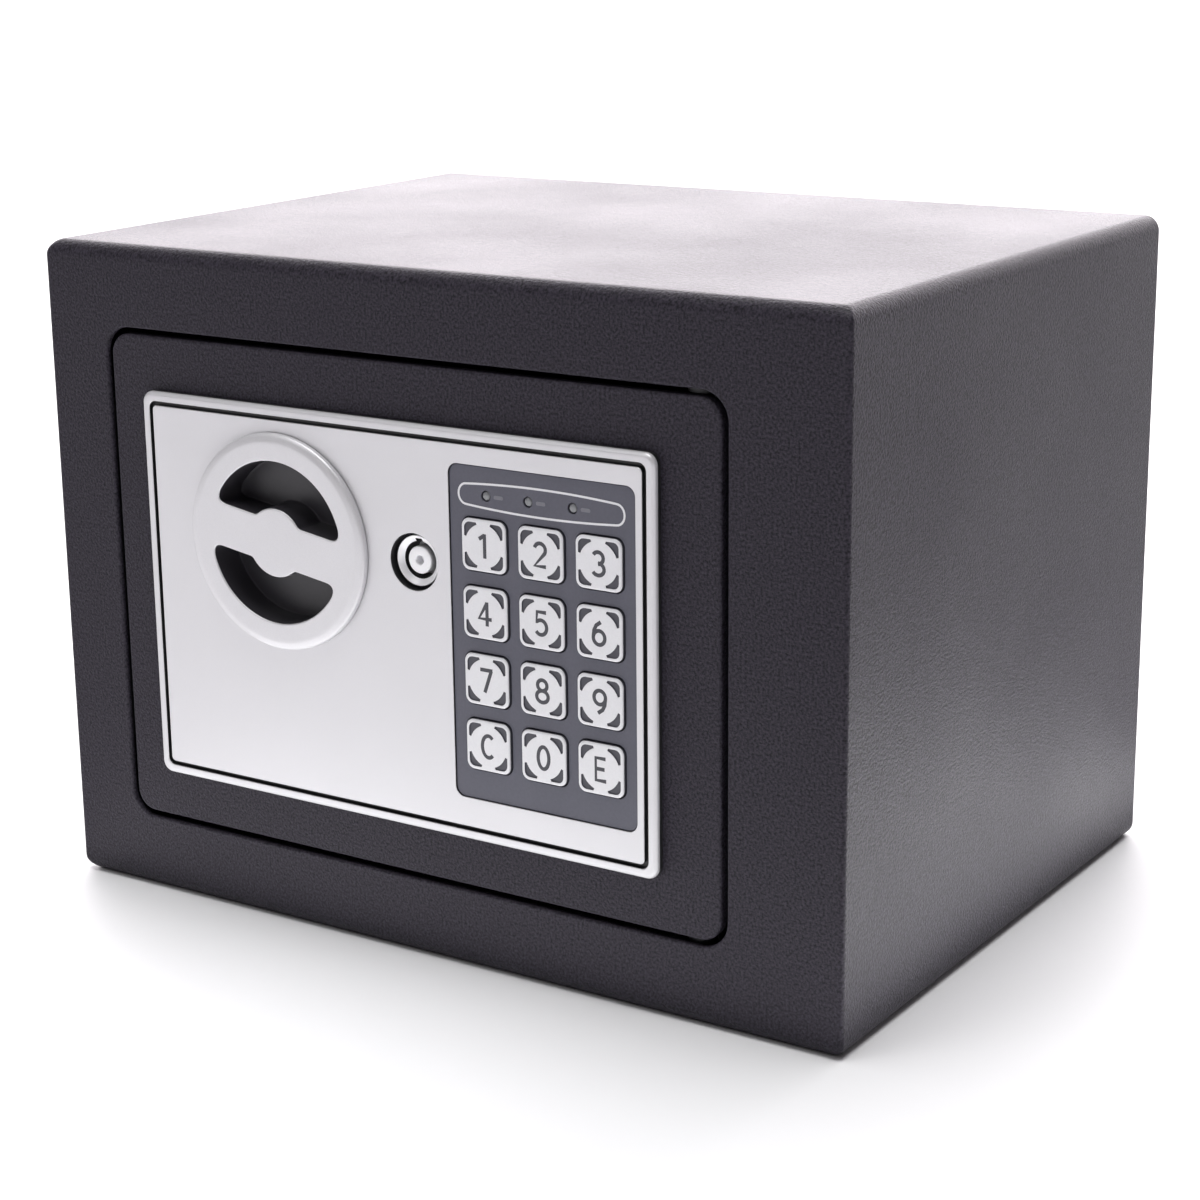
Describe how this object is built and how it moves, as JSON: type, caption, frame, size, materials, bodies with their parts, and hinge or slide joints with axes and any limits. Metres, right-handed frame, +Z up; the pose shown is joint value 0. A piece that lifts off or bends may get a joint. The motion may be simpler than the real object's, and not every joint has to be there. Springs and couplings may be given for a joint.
{
  "type": "electronic keypad safe",
  "caption": "Small steel safe with a hinged door, keypad panel, round turning knob, override key lock, sliding locking bolts and a battery compartment behind the door.",
  "frame": {"origin": "on the surface the safe stands on, under the middle of its overall box", "axes": "+X to the right of the door as seen from the front, +Y from the front to the back, +Z up"},
  "size_m": [0.23, 0.1748, 0.17],
  "materials": {
    "powder_coat": "fine orange-peel powder coat, charcoal",
    "felt": "thin black felt",
    "bare_steel": "zinc plated steel",
    "yellow_zinc": "passivated zinc plate",
    "dark_steel": "black painted steel",
    "silver_paint": "silver paint on black plastic",
    "pad_grey": "grey plastic, semi-matte",
    "key_silver": "silver grey keys with dark print",
    "led_clear": "clear lamp lenses",
    "rubber_grey": "silicone rubber",
    "circuit_green": "circuit board",
    "chrome": "bright chrome plate",
    "copper": "enamelled copper winding",
    "black_plastic": "black moulded plastic",
    "cable_grey": "flat cable",
    "cell_blue": "cell sleeve",
    "inner_paint": "semi-matte grey paint",
    "red_button": "red moulded plastic"
  },
  "bodies": {
    "case": {"case_shell": "powder_coat", "back_panel": "powder_coat", "floor_mat": "felt", "strike_channel": "dark_steel", "hinge_lug_upper": "dark_steel", "hinge_lug_lower": "dark_steel"},
    "door": {"door_plate": "powder_coat", "hinge_pins": "dark_steel", "hinge_blocks": "dark_steel", "panel_bezel": "silver_paint", "bezel_screws": "bare_steel", "keypad_surround": "pad_grey", "led_lenses": "led_clear", "keypad_mat": "rubber_grey", "keypad_board": "circuit_green", "lock_barrel": "chrome", "lock_nut": "bare_steel", "bolt_guide": "yellow_zinc", "spindle_bridge": "yellow_zinc", "guide_studs": "bare_steel", "solenoid_frame": "bare_steel", "solenoid_coil": "copper", "control_board": "circuit_green", "board_posts": "black_plastic", "buzzer": "black_plastic", "reset_switch": "black_plastic", "ribbon_cable": "cable_grey", "battery_box": "black_plastic", "battery_cells": "cell_blue", "battery_contacts": "bare_steel", "inner_cover": "inner_paint", "cover_screws": "bare_steel"},
    "knob": {"knob_grip": "silver_paint", "knob_spindle": "bare_steel", "spindle_clip": "dark_steel", "crank": "bare_steel"},
    "bolt_carriage": {"carriage_plate": "yellow_zinc", "locking_bolts": "chrome"},
    "solenoid_plunger": {"plunger": "bare_steel", "plunger_spring": "bare_steel"},
    "key_plug": {"lock_plug": "chrome", "lock_cam": "bare_steel", "cam_screw": "bare_steel"},
    "keypad_key_1": {"key_1": "key_silver"},
    "keypad_key_2": {"key_2": "key_silver"},
    "keypad_key_3": {"key_3": "key_silver"},
    "keypad_key_4": {"key_4": "key_silver"},
    "keypad_key_5": {"key_5": "key_silver"},
    "keypad_key_6": {"key_6": "key_silver"},
    "keypad_key_7": {"key_7": "key_silver"},
    "keypad_key_8": {"key_8": "key_silver"},
    "keypad_key_9": {"key_9": "key_silver"},
    "keypad_key_c": {"key_c": "key_silver"},
    "keypad_key_0": {"key_0": "key_silver"},
    "keypad_key_e": {"key_e": "key_silver"},
    "reset_push": {"reset_button": "red_button"},
    "battery_lid": {"battery_cover": "black_plastic"}
  },
  "joints": [
    {"name": "door_hinge", "type": "hinge", "parent": "case", "child": "door", "pos_m": [0.076, -0.077, 0.0847], "axis": [0, 0, 1], "range_deg": [0, 95]},
    {"name": "knob_turn", "type": "hinge", "parent": "door", "child": "knob", "pos_m": [-0.0392, -0.0826, 0.1012], "axis": [0, 1, 0], "range_deg": [-90, 0]},
    {"name": "bolt_throw", "type": "slide", "parent": "door", "child": "bolt_carriage", "axis": [1, 0, 0], "range_m": [-0.01202, 0]},
    {"name": "plunger_lift", "type": "slide", "parent": "door", "child": "solenoid_plunger", "axis": [0, 0, 1], "range_m": [0, 0.0035], "stiffness_N_per_m": 60, "deforming": ["plunger_spring"]},
    {"name": "override_turn", "type": "hinge", "parent": "door", "child": "key_plug", "pos_m": [0.0014, -0.0826, 0.1013], "axis": [0, 1, 0], "range_deg": [0, 90]},
    {"name": "press_1", "type": "slide", "parent": "door", "child": "keypad_key_1", "axis": [0, 1, 0], "range_m": [0, 0.0008], "stiffness_N_per_m": 400},
    {"name": "press_2", "type": "slide", "parent": "door", "child": "keypad_key_2", "axis": [0, 1, 0], "range_m": [0, 0.0008], "stiffness_N_per_m": 400},
    {"name": "press_3", "type": "slide", "parent": "door", "child": "keypad_key_3", "axis": [0, 1, 0], "range_m": [0, 0.0008], "stiffness_N_per_m": 400},
    {"name": "press_4", "type": "slide", "parent": "door", "child": "keypad_key_4", "axis": [0, 1, 0], "range_m": [0, 0.0008], "stiffness_N_per_m": 400},
    {"name": "press_5", "type": "slide", "parent": "door", "child": "keypad_key_5", "axis": [0, 1, 0], "range_m": [0, 0.0008], "stiffness_N_per_m": 400},
    {"name": "press_6", "type": "slide", "parent": "door", "child": "keypad_key_6", "axis": [0, 1, 0], "range_m": [0, 0.0008], "stiffness_N_per_m": 400},
    {"name": "press_7", "type": "slide", "parent": "door", "child": "keypad_key_7", "axis": [0, 1, 0], "range_m": [0, 0.0008], "stiffness_N_per_m": 400},
    {"name": "press_8", "type": "slide", "parent": "door", "child": "keypad_key_8", "axis": [0, 1, 0], "range_m": [0, 0.0008], "stiffness_N_per_m": 400},
    {"name": "press_9", "type": "slide", "parent": "door", "child": "keypad_key_9", "axis": [0, 1, 0], "range_m": [0, 0.0008], "stiffness_N_per_m": 400},
    {"name": "press_c", "type": "slide", "parent": "door", "child": "keypad_key_c", "axis": [0, 1, 0], "range_m": [0, 0.0008], "stiffness_N_per_m": 400},
    {"name": "press_0", "type": "slide", "parent": "door", "child": "keypad_key_0", "axis": [0, 1, 0], "range_m": [0, 0.0008], "stiffness_N_per_m": 400},
    {"name": "press_e", "type": "slide", "parent": "door", "child": "keypad_key_e", "axis": [0, 1, 0], "range_m": [0, 0.0008], "stiffness_N_per_m": 400},
    {"name": "reset_press", "type": "slide", "parent": "door", "child": "reset_push", "axis": [0, -1, 0], "range_m": [0, 0.0015], "stiffness_N_per_m": 300},
    {"name": "battery_lid_off", "type": "slide", "parent": "door", "child": "battery_lid", "axis": [0, 1, 0], "range_m": [0, 0.04]}
  ],
  "couplings": [
    {"joint": "knob_turn", "follows": "bolt_throw", "rad_per_m": 130.68}
  ]
}
